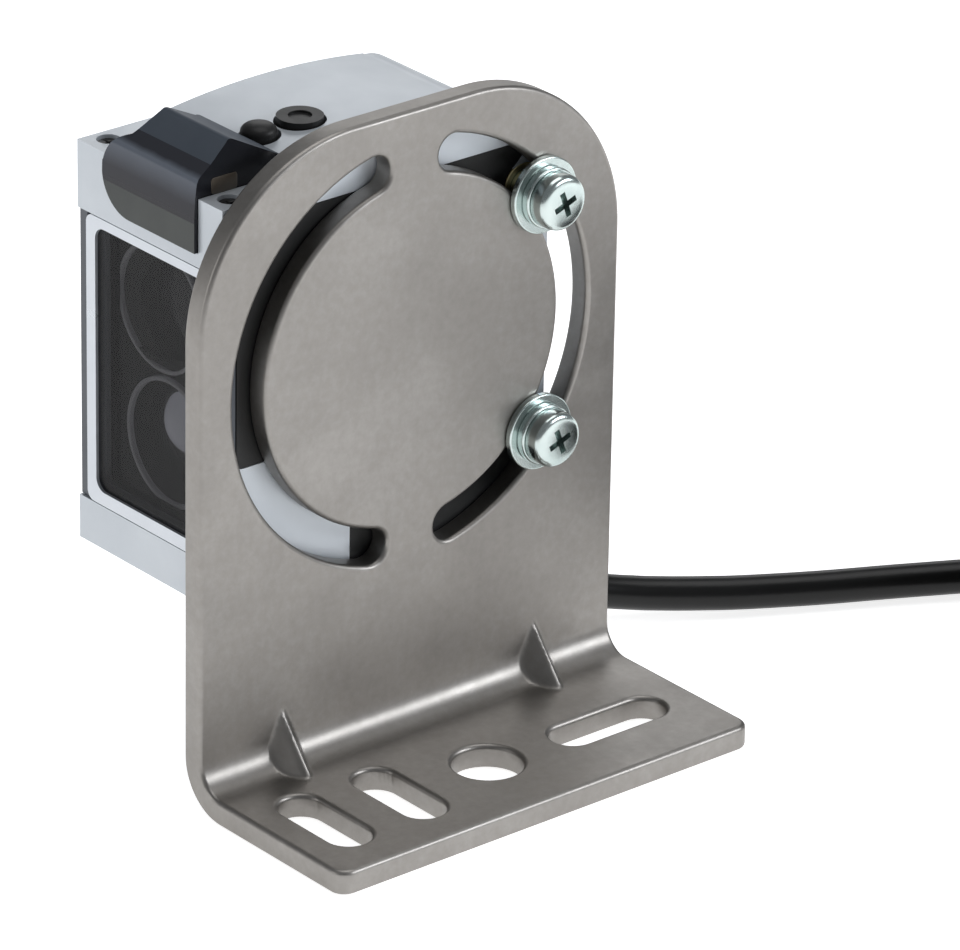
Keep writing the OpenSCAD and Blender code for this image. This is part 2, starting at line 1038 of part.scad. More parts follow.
module cable_run() {
    color([0.06, 0.06, 0.06])
        difference() {
            swept_tube(run_route, cable_d);
            coil_block(0.05);
        }
}

module cable_coil() {
    color([0.06, 0.06, 0.06])
        coil_block(0);
}

module cable_tail() {
    color([0.06, 0.06, 0.06])
        swept_tube(tail_route, cable_d);
}

module coil_tie() {
    g = 0.1;
    band = 0.8;
    color([0.05, 0.05, 0.05])
        translate([coil_at[0], coil_at[1], 0])
            rotate([0, 0, 80])
                translate([coil_in - band, -1.5, 0])
                    difference() {
                        cube([coil_out - coil_in + 2 * band, 3, top_h + band + g]);
                        translate([band - g, -1, -1])
                            cube([coil_out - coil_in + 2 * g, 5, top_h + 1 + 2 * g]);
                    }
}

// Four coloured leads that follow the cable's last circle and fan out a little
module end_wires() {
    hues = [[0.35, 0.18, 0.08], [0.10, 0.25, 0.70], [0.05, 0.05, 0.05], [0.85, 0.85, 0.85]];
    for (k = [0 : 3])
        color(hues[k])
            swept_tube([
                for (s = [0 : 10 : 70])
                    let (
                        r = tail_r + (k - 1.5) * (1.02 + s / 900),
                        a = -95.4 - s,
                        z = coil_h + 0.65 + 1.6 * max(0, 1 - s / 20)
                    )
                    [coil_at[0] + r * cos(a), coil_at[1] + r * sin(a), z]
            ], 1, 8);
}

bracket_plate();
bracket_bend();
bracket_foot();
clamp_screws();
spring_washers();
plain_washers();
housing();
front_bezel();
window_gasket();
front_window();
edge_trims();
side_plate_near();
side_plate_far();
thread_inserts();
corner_screws();
display_cover();
display_gasket();
display_board();
display_module();
status_led();
button_switch();
button_seal();
set_button();
rocker_switches();
rocker_seal();
rocker_pin();
rocker_key();
optics_chassis();
emitter_lens();
receiver_lens();
laser_diode();
light_baffle();
receiver_chip();
receiver_board();
main_board();
board_connector();
ribbon();
rear_block();
rear_gasket();
rear_screws();
cable_gland();
cable_clamp();
inner_wires();
cable_lead();
cable_run();
cable_coil();
cable_tail();
coil_tie();
end_wires();
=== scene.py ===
import bpy, bmesh, math
from mathutils import Matrix, Vector


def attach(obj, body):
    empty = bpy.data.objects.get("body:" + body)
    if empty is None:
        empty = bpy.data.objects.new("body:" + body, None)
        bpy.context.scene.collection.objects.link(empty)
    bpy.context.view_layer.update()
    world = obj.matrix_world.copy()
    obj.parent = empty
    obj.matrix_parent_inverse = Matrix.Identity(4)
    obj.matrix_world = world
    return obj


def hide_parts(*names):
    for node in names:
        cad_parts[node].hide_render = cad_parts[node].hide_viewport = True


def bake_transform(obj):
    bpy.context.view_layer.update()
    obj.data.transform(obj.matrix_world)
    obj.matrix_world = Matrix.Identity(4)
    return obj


# Shapes are drawn in millimetres in the CAD's frame, put() turns them into metres.
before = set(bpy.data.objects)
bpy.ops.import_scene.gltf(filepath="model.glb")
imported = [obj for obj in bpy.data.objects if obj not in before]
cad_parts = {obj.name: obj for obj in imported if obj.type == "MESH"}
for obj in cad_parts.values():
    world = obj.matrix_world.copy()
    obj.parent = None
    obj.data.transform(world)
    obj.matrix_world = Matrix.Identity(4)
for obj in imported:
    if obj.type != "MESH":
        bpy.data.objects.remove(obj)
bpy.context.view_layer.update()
MM = 0.001
pi = math.pi
SX, SZ = -31.1, 50.0            # the sensor's middle across, and the height of its tilt axis
FRONT_Y = -25.5                 # the housing's front
PLATE_X = -14.5                 # the upright plate's outer face
HOOD_LOW, HOOD_BROW = 20.0, 26.0    # from and to where the hood leans back, above the tilt axis


def rad(a):
    return a * pi / 180


# ---- camera ------------------------------------------------------------------------------
def make_camera():
    """Long lens above and in front, rolled a little and aimed slightly beside the object's middle."""
    turn, lift, roll = rad(50.383), rad(24.513), rad(0.809)
    distance, aim_right, aim_down = 841.83, 0.00924073, 0.00602239
    back = Vector((math.sin(turn) * math.cos(lift), -math.cos(turn) * math.cos(lift), math.sin(lift)))
    level = Vector((math.cos(turn), math.sin(turn), 0))
    upward = back.cross(level)
    right = level * math.cos(roll) + upward * math.sin(roll)
    up = upward * math.cos(roll) - level * math.sin(roll)
    look = (-back + right * aim_right - up * aim_down).normalized()
    x = (right - look * right.dot(look)).normalized()
    y = (-look).cross(x)
    pose = Matrix((x, y, -look)).transposed().to_4x4()
    pose.translation = (Vector((PLATE_X, 0, 40)) + back * distance) * MM
    data = bpy.data.cameras.new("camera")
    data.lens, data.sensor_width, data.clip_start, data.clip_end = 273.36, 36, 0.05, 50
    cam = bpy.data.objects.new("camera", data)
    bpy.context.scene.collection.objects.link(cam)
    cam.matrix_world = pose
    bpy.context.scene.camera = cam


make_camera()


# ---- materials ---------------------------------------------------------------------------
class Nodes:
    """A node tree with short calls for the few nodes that the materials use."""

    def __init__(self, name):
        self.m = bpy.data.materials.new(name)
        self.m.use_nodes = True
        self.t = self.m.node_tree
        self.b = self.t.nodes["Principled BSDF"]
        self.at = self.new("ShaderNodeTexCoord").outputs["Object"]

    def new(self, kind, **props):
        n = self.t.nodes.new(kind)
        for k, v in props.items():
            setattr(n, k, v)
        return n

    def link(self, a, b):
        self.t.links.new(a, b)

    def set(self, values):
        for k, v in values.items():
            self.b.inputs[k].default_value = v

    def noise(self, scale, detail=3.0, rough=0.5):
        n = self.new("ShaderNodeTexNoise")
        for k, v in (("Scale", scale), ("Detail", detail), ("Roughness", rough)):
            n.inputs[k].default_value = v
        self.link(self.at, n.inputs["Vector"])
        return n.outputs["Fac"]

    def ramp(self, fac, stops):
        n = self.new("ShaderNodeValToRGB")
        el = n.color_ramp.elements
        while len(el) < len(stops):
            el.new(0.5)
        for e, (place, colour) in zip(el, stops):
            e.position = place
            e.color = (*colour, 1)
        self.link(fac, n.inputs["Fac"])
        return n.outputs["Color"]

    def spread(self, fac, lo, hi, a=0.3, b=0.7):
        """Maps a to b onto lo to hi."""
        n = self.new("ShaderNodeMapRange")
        for k, v in zip(("From Min", "From Max", "To Min", "To Max"), (a, b, lo, hi)):
            n.inputs[k].default_value = v
        self.link(fac, n.inputs["Value"])
        return n.outputs["Result"]

    def bump(self, height, depth_mm, strength, normal=None):
        n = self.new("ShaderNodeBump")
        n.inputs["Strength"].default_value = strength
        n.inputs["Distance"].default_value = depth_mm * MM
        self.link(height, n.inputs["Height"])
        if normal is not None:
            self.link(normal, n.inputs["Normal"])
        return n.outputs["Normal"]


def grey(v):
    return (v, v, v)


def finish_of(name, low, high, rough, metal, patch, grain, depth,
              alpha=1.0, spec=0.5, uneven=0.08, glow=0.0):
    """Satin or moulded surface: two close tones in soft patches, uneven gloss and a fine grain.

    patch and grain are noise scales per metre, depth is the grain's depth in mm.
    """
    n = Nodes(name)
    b = n.b
    n.link(n.ramp(n.noise(patch, 4, 0.6), [(0.15, low), (0.85, high)]), b.inputs["Base Color"])
    gloss = n.noise(patch * 2.3, 3, 0.55)
    n.link(n.spread(gloss, rough - uneven / 2, rough + uneven / 2, 0.15, 0.85), b.inputs["Roughness"])
    n.link(n.bump(n.noise(grain, 2, 0.6), depth, 0.6), b.inputs["Normal"])
    n.set({"Metallic": metal, "Specular IOR Level": spec, "Alpha": alpha})
    # glow makes a surface shine though it is no lamp: painted light
    if glow:
        n.set({"Emission Color": (0.85, 0.87, 1.0, 1), "Emission Strength": glow})
    return n.m


def steel():
    """Tumbled stainless sheet: warm grey and cloudy, with a fine grain."""
    n = Nodes("steel_sheet")
    b = n.b
    cloud = n.noise(48, 5, 0.62)
    fine = n.noise(900, 3, 0.6)
    mix = n.new("ShaderNodeMath", operation="MULTIPLY_ADD")
    mix.inputs[1].default_value = 0.35
    n.link(fine, mix.inputs[0])
    n.link(n.spread(cloud, 0.0, 0.65, 0.0, 1.0), mix.inputs[2])
    tones = [(0.33, (0.252, 0.238, 0.223)), (0.5, (0.284, 0.270, 0.254)), (0.66, (0.325, 0.311, 0.295))]
    n.link(n.ramp(mix.outputs[0], tones), b.inputs["Base Color"])
    n.link(n.spread(n.noise(160, 4, 0.6), 0.38, 0.46), b.inputs["Roughness"])
    grain = n.bump(n.noise(2600, 2, 0.6), 0.012, 0.5)
    n.link(n.bump(n.noise(420, 3, 0.55), 0.02, 0.35, grain), b.inputs["Normal"])
    n.set({"Metallic": 1.0})
    return n.m


def painted_brow_highlight():
    """Hood plastic that goes from near black up to a pale slate band along the brow: the band is a painted
    highlight, and the colour turns dark again right at its top.
    """
    n = Nodes("hood_brow_highlight")
    xyz = n.new("ShaderNodeSeparateXYZ")
    n.link(n.at, xyz.inputs["Vector"])
    cloud = n.spread(n.noise(120, 3), -0.04, 0.04)
    rise = n.spread(xyz.outputs["Z"], 0.0, 1.0, (SZ + HOOD_LOW) * MM, (SZ + HOOD_BROW) * MM)
    total = n.new("ShaderNodeMath", operation="ADD")
    n.link(rise, total.inputs[0])
    n.link(cloud, total.inputs[1])
    # painted highlight: the pale stops make the band along the brow, the last stop darkens its very top
    tones = [(0.0, (0.012, 0.012, 0.017)), (0.35, (0.018, 0.019, 0.027)), (0.72, (0.085, 0.097, 0.122)),
             (0.88, (0.125, 0.142, 0.172)), (0.97, (0.030, 0.032, 0.040))]
    n.link(n.ramp(total.outputs[0], tones), n.b.inputs["Base Color"])
    n.set({"Roughness": 0.22, "Specular IOR Level": 0.25})
    return n.m


# finish_of's order: name, darker tone, lighter tone, roughness, metallic, patch, grain, depth
M = {
    "steel": steel(),
    "zinc": finish_of("zinc_plate", (0.42, 0.50, 0.49), (0.62, 0.68, 0.66), 0.22, 1.0, 260, 3000, 0.006),
    "cast": finish_of("painted_casting", (0.50, 0.535, 0.575), (0.57, 0.605, 0.64), 0.36, 0.35,
                      130, 5200, 0.006),
    "bezel": finish_of("satin_bezel", (0.56, 0.59, 0.63), (0.62, 0.65, 0.69), 0.30, 0.6, 160, 5200, 0.003),
    "rubber": finish_of("seal_rubber", grey(0.012), grey(0.02), 0.6, 0, 200, 2500, 0.02),
    "window": finish_of("smoked_glass", (0.004, 0.004, 0.005), (0.006, 0.006, 0.007), 0.10, 0,
                        60, 300, 0.0001, alpha=0.50, spec=0.20, uneven=0.02),
    "trim": finish_of("slate_trim", (0.055, 0.062, 0.075), (0.075, 0.084, 0.10), 0.38, 0, 150, 3000, 0.01),
    "black": finish_of("moulded_black", grey(0.010), grey(0.016), 0.45, 0, 140, 3800, 0.02, spec=0.3),
    "brass": finish_of("insert_brass", (0.55, 0.46, 0.24), (0.66, 0.57, 0.33), 0.32, 1.0, 300, 3000, 0.01),
    "blackscrew": finish_of("black_oxide", grey(0.03), grey(0.05), 0.35, 0.8, 300, 3000, 0.01),
    "hood": finish_of("hood_gloss", (0.012, 0.013, 0.016), (0.017, 0.018, 0.022), 0.16, 0,
                      80, 2500, 0.003, spec=0.32),
    "hood_front": finish_of("hood_window", (0.030, 0.035, 0.034), (0.060, 0.066, 0.062), 0.14, 0,
                            110, 2500, 0.003, spec=0.25),
    "hood_top": finish_of("hood_slate", (0.060, 0.072, 0.090), (0.082, 0.095, 0.115), 0.45, 0,
                          90, 3500, 0.002, spec=0.03, uneven=0.04),
    # the hood's front, with a painted highlight band along the brow
    "hood_brow_highlight": painted_brow_highlight(),
    "led_port": finish_of("lamp_port", (0.085, 0.070, 0.052), (0.12, 0.10, 0.08), 0.3, 0, 400, 3000, 0.01),
    "board": finish_of("circuit_board", (0.015, 0.07, 0.035), (0.02, 0.10, 0.05), 0.4, 0, 500, 2500, 0.02),
    "panel": finish_of("display_panel", (0.01, 0.012, 0.016), (0.015, 0.018, 0.024), 0.15, 0,
                       200, 2500, 0.004),
    "amber": finish_of("amber_lamp", (0.75, 0.33, 0.05), (0.85, 0.42, 0.09), 0.2, 0, 400, 2500, 0.004),
    "key": finish_of("key_plastic", grey(0.012), grey(0.020), 0.42, 0, 220, 4200, 0.015, spec=0.25),
    "chassis": finish_of("optics_black", grey(0.016), grey(0.026), 0.5, 0, 180, 3000, 0.002),
    "lens": finish_of("lens_moulding", (0.050, 0.052, 0.058), (0.062, 0.064, 0.072), 0.08, 0,
                      90, 2000, 0.001, spec=0.9, uneven=0.03),
    "chip": finish_of("chip_body", grey(0.02), grey(0.03), 0.4, 0, 300, 3000, 0.01),
    "connector": finish_of("connector_body", (0.55, 0.53, 0.48), (0.62, 0.60, 0.55), 0.4, 0,
                           300, 3000, 0.01),
    "film": finish_of("ribbon_film", (0.45, 0.28, 0.06), (0.55, 0.35, 0.09), 0.3, 0, 300, 3000, 0.01),
    "jacket": finish_of("cable_jacket", grey(0.004), grey(0.007), 0.30, 0, 120, 3400, 0.02, spec=0.3),
    "tie": finish_of("tie_plastic", grey(0.010), grey(0.016), 0.45, 0, 200, 3400, 0.02),
    # the lens rims and the lens cap glow faintly, a painted reflection of the room that the real ones would
    # reflect; the lens cap's stronger glow is a painted highlight
    "lens_ring": finish_of("lens_ring", (0.80, 0.80, 0.84), (0.90, 0.90, 0.94), 0.30, 0,
                           200, 3000, 0.006, glow=0.035),
    "lens_cap": finish_of("lens_cap", (0.70, 0.70, 0.76), (0.85, 0.85, 0.92), 0.15, 0,
                          200, 3000, 0.001, glow=0.26),
}
HUES = {"brown": (0.09, 0.035, 0.015), "blue": (0.02, 0.08, 0.42), "black": (0.012, 0.012, 0.012),
        "white": (0.72, 0.72, 0.70)}
for hue, c in HUES.items():
    darker, lighter = tuple(v * 0.9 for v in c), tuple(min(1, v * 1.12) for v in c)
    M["wire_" + hue] = finish_of("wire_" + hue, darker, lighter, 0.4, 0, 300, 4000, 0.01)


# ---- mesh helpers, all in millimetres ----------------------------------------------------
def put(name, bm, mat, smooth=35, at=None):
    """Makes an object of a bmesh in millimetres and closes it. Edges over smooth degrees stay sharp."""
    if at is not None:
        bmesh.ops.transform(bm, matrix=at, verts=bm.verts)
    bmesh.ops.scale(bm, vec=(MM, MM, MM), verts=bm.verts)
    bmesh.ops.recalc_face_normals(bm, faces=bm.faces)
    me = bpy.data.meshes.new(name)
    for f in bm.faces:
        f.smooth = True
    bm.to_mesh(me)
    bm.free()
    me.materials.append(mat)
    if smooth:
        me.set_sharp_from_angle(angle=rad(smooth))
    ob = bpy.data.objects.new(name, me)
    bpy.context.scene.collection.objects.link(ob)
    return ob


def apply_mods(ob):
    bpy.context.view_layer.update()
    dg = bpy.context.evaluated_depsgraph_get()
    me = bpy.data.meshes.new_from_object(ob.evaluated_get(dg), preserve_all_data_layers=True, depsgraph=dg)
    ob.modifiers.clear()
    old, ob.data = ob.data, me
    bpy.data.meshes.remove(old)
    return ob


def weighted(ob):
    w = ob.modifiers.new("normals", "WEIGHTED_NORMAL")
    w.keep_sharp = True
    w.weight = 80
    return ob


def bevelled(ob, width, seg):
    b = ob.modifiers.new("edges", "BEVEL")
    b.width, b.segments, b.limit_method, b.angle_limit = width * MM, seg, "ANGLE", rad(32)
    b.miter_outer = "MITER_ARC"
    for p in ob.data.polygons:
        p.use_smooth = True
    return weighted(apply_mods(ob))


def cut(ob, tool):
    m = ob.modifiers.new("cut", "BOOLEAN")
    m.operation, m.object, m.solver = "DIFFERENCE", tool, "EXACT"
    apply_mods(ob)
    bpy.data.objects.remove(tool)


def area2(loop):
    """Twice the loop's area, negative where it runs clockwise."""
    return sum(a[0] * b[1] - b[0] * a[1] for a, b in zip(loop, loop[1:] + loop[:1]))


def inset(loop, d, hole):
    """The loop moved d into the material."""
    s = (1 if area2(loop) > 0 else -1) * (-1 if hole else 1)
    out = []
    n = len(loop)
    for i in range(n):
        p, c, q = Vector(loop[i - 1]), Vector(loop[i]), Vector(loop[(i + 1) % n])
        u, v = (c - p).normalized(), (q - c).normalized()
        nu, nv = Vector((-u.y, u.x)), Vector((-v.y, v.x))
        m = (nu + nv).normalized()
        out.append(tuple(c + m * (s * d / max(0.5, m.dot(nu)))))
    return out


def slab_bm(loops, t, low, high, seg):
    """Sheet between w = 0 and w = t from an outer loop and its holes, edges rounded by low and high."""
    bm = bmesh.new()
    angles = [rad(90 * j / seg) for j in range(seg + 1)]
    steps = [(low * (1 - math.sin(a)), low * (1 - math.cos(a))) for a in angles]
    steps += [(high * (1 - math.cos(a)), t - high * (1 - math.sin(a))) for a in angles]
    ends = [[], []]
    for k, loop in enumerate(loops):
        rings = [[bm.verts.new((*p, w)) for p in inset(loop, d, k > 0)] for d, w in steps]
        for a, b in zip(rings, rings[1:]):
            for i in range(len(a)):
                j = (i + 1) % len(a)
                bm.faces.new((a[i], a[j], b[j], b[i]))
        for e, r in ((0, rings[0]), (1, rings[-1])):
            ends[e] += [bm.edges.get((r[i], r[(i + 1) % len(r)])) for i in range(len(r))]
    for e in ends:
        bmesh.ops.triangle_fill(bm, use_beauty=True, use_dissolve=False, edges=e)
    return bm


def arc(cx, cy, r, a0, a1, n):
    return [(cx + r * math.cos(rad(a0 + (a1 - a0) * i / n)), cy + r * math.sin(rad(a0 + (a1 - a0) * i / n)))
            for i in range(n + 1)]


def rounded(x0, y0, x1, y1, r, n=8):
    return (arc(x1 - r, y1 - r, r, 0, 90, n) + arc(x0 + r, y1 - r, r, 90, 180, n)
            + arc(x0 + r, y0 + r, r, 180, 270, n) + arc(x1 - r, y0 + r, r, 270, 360, n))


def obround(cx, cy, run, w, turned):
    a, b = arc(run / 2, 0, w / 2, -90, 90, 20), arc(-run / 2, 0, w / 2, 90, 270, 20)
    return [(cx - y, cy + x) if turned else (cx + x, cy + y) for x, y in a + b]


def lathe_bm(profile, n):
    """Closed or open profile of (radius, height) turned about z."""
    bm = bmesh.new()
    rows = []
    for r, z in profile:
        if r < 1e-6:
            rows.append([bm.verts.new((0, 0, z))])
        else:
            rows.append([bm.verts.new((r * math.cos(2 * pi * k / n), r * math.sin(2 * pi * k / n), z))
                         for k in range(n)])
    for a, b in zip(rows, rows[1:]):
        for k in range(n):
            j = (k + 1) % n
            f = [a[k % len(a)], a[j % len(a)], b[j % len(b)], b[k % len(b)]]
            f = list(dict.fromkeys(f))
            if len(f) > 2:
                bm.faces.new(f)
    return bm


def box_bm(x0, y0, z0, x1, y1, z1):
    bm = bmesh.new()
    bmesh.ops.create_cube(bm, size=1)
    bmesh.ops.scale(bm, vec=(x1 - x0, y1 - y0, z1 - z0), verts=bm.verts)
    bmesh.ops.translate(bm, vec=((x0 + x1) / 2, (y0 + y1) / 2, (z0 + z1) / 2), verts=bm.verts)
    return bm


def smooth01(t):
    t = max(0.0, min(1.0, t))
    return t * t * (3 - 2 * t)


def resample(points, step):
    """Points on a smooth curve through the given ones, about a step apart."""
    p = [Vector(q) for q in points]
    p = [p[0] * 2 - p[1]] + p + [p[-1] * 2 - p[-2]]
    out = []
    for i in range(1, len(p) - 2):
        a, b, c, d = p[i - 1:i + 3]
        n = max(1, round((c - b).length / step))
        for k in range(n):
            t = k / n
            out.append(0.5 * (2 * b + (c - a) * t + (2 * a - 5 * b + 4 * c - d) * t * t
                              + (3 * b - a - 3 * c + d) * t ** 3))
    return out + [p[-2]]


def tube_bm(path, d, n):
    """Round tube of n sides along a path, with closed ends and a frame that doesn't twist."""
    bm = bmesh.new()
    p = [Vector(q) for q in path]
    corners = [(math.cos(2 * pi * k / n), math.sin(2 * pi * k / n)) for k in range(n)]
    side = None
    rings = []
    for i in range(len(p)):
        t = (p[min(i + 1, len(p) - 1)] - p[max(i - 1, 0)]).normalized()
        if side is None:
            side = t.cross(Vector((0, 0, 1)) if abs(t.z) < 0.9 else Vector((1, 0, 0))).normalized()
        side = (side - t * side.dot(t)).normalized()
        up = side.cross(t)
        rings.append([bm.verts.new(p[i] + (side * c + up * s) * d / 2) for c, s in corners])
    for a, b in zip(rings, rings[1:]):
        for k in range(n):
            bm.faces.new((a[k], a[(k + 1) % n], b[(k + 1) % n], b[k]))
    bm.faces.new(rings[0])
    bm.faces.new(rings[-1])
    return bm


def facing_front(x, y, z):
    """Place for a lathed shape whose top looks along -Y."""
    return Matrix.Translation((x, y, z)) @ Matrix.Rotation(rad(90), 4, "X")


def show(ob, body, slot, *nodes):
    """Puts a piece on its body and hides the CAD nodes that it stands for. The slot is not used."""
    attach(ob, body)
    if nodes:
        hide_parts(*nodes)
    return ob


def from_cad(node, mat, width, seg, levels=(), move=None):
    """A node's own shape, divided at the given heights, its points moved, then its edges rounded."""
    bm = bmesh.new()
    bm.from_mesh(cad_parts[node].data)
    for layer in list(bm.loops.layers.uv.values()):
        bm.loops.layers.uv.remove(layer)
    bmesh.ops.remove_doubles(bm, verts=bm.verts, dist=2e-6)
    bmesh.ops.dissolve_limit(bm, angle_limit=rad(0.6), verts=bm.verts, edges=bm.edges)
    # a concave face can be filled wrongly across its own hollow
    bmesh.ops.connect_verts_concave(bm, faces=[f for f in bm.faces if len(f.verts) > 4])
    bmesh.ops.scale(bm, vec=(1 / MM, 1 / MM, 1 / MM), verts=bm.verts)
    for z in levels:
        geom = bm.verts[:] + bm.edges[:] + bm.faces[:]
        bmesh.ops.bisect_plane(bm, geom=geom, dist=1e-4, plane_co=(0, 0, z), plane_no=(0, 0, 1))
    if move:
        for v in bm.verts:
            v.co = move(v.co)
    for f in bm.faces:
        f.material_index = 0
    ob = put(node + "_shape", bm, mat, smooth=32)
    if "custom_normal" in ob.data.attributes:
        ob.data.attributes.remove(ob.data.attributes["custom_normal"])
    if width:
        bevelled(ob, width, seg)
    return ob


# ---- cable -------------------------------------------------------------------------------
DIA = 4.3                       # the cable's diameter
LEAD = [                        # from the strain relief down to the floor
    (-30.1, 14.65, 30.82), (-30.1, 18.2, 24.7), (-30.1, 21.8, 18.5), (-30.1, 23.3, 15.9),
    (-29.9, 25.0, 13.0), (-29.6, 26.9, 10.2), (-29.0, 29.1, 7.9), (-28.2, 31.7, 6.2),
    (-27.1, 34.6, 5.0), (-25.8, 37.6, 4.2), (-24.3, 40.7, 3.6), (-22.6, 43.8, 3.15)]
RUN = [                         # over the floor to the coil
    (-20.8, 47.0, 2.85), (-18.7, 50.7, 2.6), (-16.6, 54.5, 2.4), (-12.3, 62.7, 2.2),
    (-8.1, 70.9, 2.2), (-3.8, 79.0, 2.2), (0.9, 87.8, 2.2)]
CX, CY = 30.2, 86.77            # the coil's middle
RING, PITCH = 22.0, 4.4         # its middle radius, and the step from turn to turn and layer to layer
COIL_START, TURN_END = 152.03, 4926.4   # angle where it starts, and the whole angle that it winds
COIL_TOP = 22.0


def coil_points(step=9.0):
    """Five layers of three turns, the last cut short: each steps between radii, then climbs a layer."""
    r = [RING - PITCH, RING, RING + PITCH]
    # turn, zone of the turn, what changes, from, to
    moves = [(0, 0, "r", 2, 1), (1, 0, "r", 1, 0), (2, 1, "z", 0, 1), (3, 2, "r", 0, 1), (4, 2, "r", 1, 2),
             (5, 3, "z", 1, 2), (6, 4, "r", 2, 1), (7, 4, "r", 1, 0), (8, 5, "z", 2, 3), (9, 6, "r", 0, 1),
             (10, 6, "r", 1, 2), (11, 7, "z", 3, 4), (12, 8, "r", 2, 1), (13, 8, "r", 1, 0)]
    zone_w = 40                 # degrees that a change takes
    out = []
    count = round(TURN_END / step)
    for i in range(count + 1):
        turn = TURN_END * i / count
        rr, z = r[2], 0.0
        for p, zone, kind, u, v in moves:
            t = smooth01((turn - p * 360 - 300 + zone_w * zone) / zone_w)
            if kind == "r":
                rr += (r[v] - r[u]) * t
            else:
                z += (v - u) * t
        f = rad(COIL_START - turn)
        out.append((CX + rr * math.cos(f), CY + rr * math.sin(f), 2.2 + PITCH * z))
    return out


coil = coil_points()
route = resample(LEAD + RUN + [coil[0]], 2.5)[:-1] + [Vector(p) for p in coil]
cable = put("cable", tube_bm(route, DIA, 16), M["jacket"], smooth=40)
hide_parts("cable_lead", "cable_run", "cable_coil", "cable_tail")


def make_wires():
    """Four bare cores that fan out a little from the cable's end."""
    cable_end, rest_z = -94.4, 18.25    # angle where the cable ends, and the height where the cores lie
    wires = []
    for k, hue in enumerate(HUES):
        pts = []
        for s in range(0, 71, 5):
            r = RING - PITCH + (k - 1.5) * (1.02 + s / 900)
            a = rad(cable_end - s)
            z = rest_z + 1.6 * max(0, 1 - s / 20)
            pts.append((CX + r * math.cos(a), CY + r * math.sin(a), z))
        bm = tube_bm(resample(pts, 0.8), 1.0, 12)
        wires.append(show(put("lead_" + hue, bm, M["wire_" + hue]), "base", "wire_jacket"))
    return wires


wires = make_wires()
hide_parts("end_wires")


def make_tie():
    """Flat band round the coil's section, 3 mm wide."""
    lo, hi, wide = RING - 6.6, RING + 6.6, 3.0
    inner = rounded(lo - 0.15, 0.02, hi + 0.15, COIL_TOP + 0.12, 1.2)
    outer = rounded(lo - 0.72, 0.0, hi + 0.72, COIL_TOP + 0.78, 1.6)
    bm = slab_bm([outer, inner], wide, 0.12, 0.12, 2)
    upright = Matrix(((1, 0, 0, 0), (0, 0, 1, -wide / 2), (0, 1, 0, 0), (0, 0, 0, 1)))
    place = Matrix.Translation((CX, CY, 0)) @ Matrix.Rotation(rad(80), 4, "Z") @ upright
    return put("coil_band", bm, M["tie"], at=place)


tie = show(make_tie(), "base", "tie_plastic", "coil_tie")
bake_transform(cable)


# ---- bracket -----------------------------------------------------------------------------
SHEET = 3.0                     # thickness of the sheet
BEND_IN = 3.5                   # inner radius of the bend
BEND_OUT = BEND_IN + SHEET
HALF_W, PLATE_TOP = 31.0, 80
FOOT_REACH = 26                 # from the plate's outer face to the foot's edge
FOOT, TURN = 22.5, 7.854        # straight part of the foot, and the bend's length in mid-sheet
HOLE_S = 11.5                   # the foot's hole line, from its edge
SLOT_W = 5.5
ARC_R, ARC_SPAN, ARC_HALF_W = 24, 76, 2.25
DART_Y = 19                     # the darts, to each side
DART_FROM, DART_TO = 15, 38     # the part of the blank that is cut finely and pressed


def arc_slot(side, s0):
    """One of the two arc slots, round the tilt axis at s0, in the direction side."""
    a0, a1 = side - ARC_SPAN, side + ARC_SPAN
    p = arc(0, 0, ARC_R + ARC_HALF_W, a0, a1, 72)
    p += arc(ARC_R * math.cos(rad(a1)), ARC_R * math.sin(rad(a1)), ARC_HALF_W, a1, a1 + 180, 14)[1:-1]
    p += arc(0, 0, ARC_R - ARC_HALF_W, a1, a0, 72)
    p += arc(ARC_R * math.cos(rad(a0)), ARC_R * math.sin(rad(a0)), ARC_HALF_W, a0 + 180, a0 + 360, 14)[1:-1]
    return [(s0 + x, y) for x, y in p]


def bent(s, w):
    """Where a point of the blank, s from the foot's edge and w deep, ends up across and up."""
    if s < FOOT:
        return Vector((FOOT_REACH - s, SHEET - w))
    if s < FOOT + TURN:
        a = (s - FOOT) / (BEND_IN + SHEET / 2)
        return Vector((BEND_IN - (BEND_IN + w) * math.sin(a), BEND_OUT - (BEND_IN + w) * math.cos(a)))
    return Vector((-w, BEND_OUT + s - FOOT - TURN))


def cut_finely(bm):
    """Divides the blank where it is bent and pressed."""
    lines = [(s, 0, 1, 0) for s in [16.5 + 0.5 * k for k in range(41)]]
    lines += [(0, m * DART_Y + 0.36 * k, 0, 1) for m in (-1, 1) for k in range(-11, 12)]
    for s, y, a, b in lines:
        near = []
        for f in bm.faces:
            xs = [v.co.x for v in f.verts]
            if any(DART_FROM < x < DART_TO for x in xs) or (min(xs) < DART_FROM and max(xs) > DART_TO):
                near.append(f)
        geom = list({e for f in near for e in f.edges}) + list({v for f in near for v in f.verts}) + near
        bmesh.ops.bisect_plane(bm, geom=geom, dist=1e-5, plane_co=(s, y, 0), plane_no=(a, b, 0))


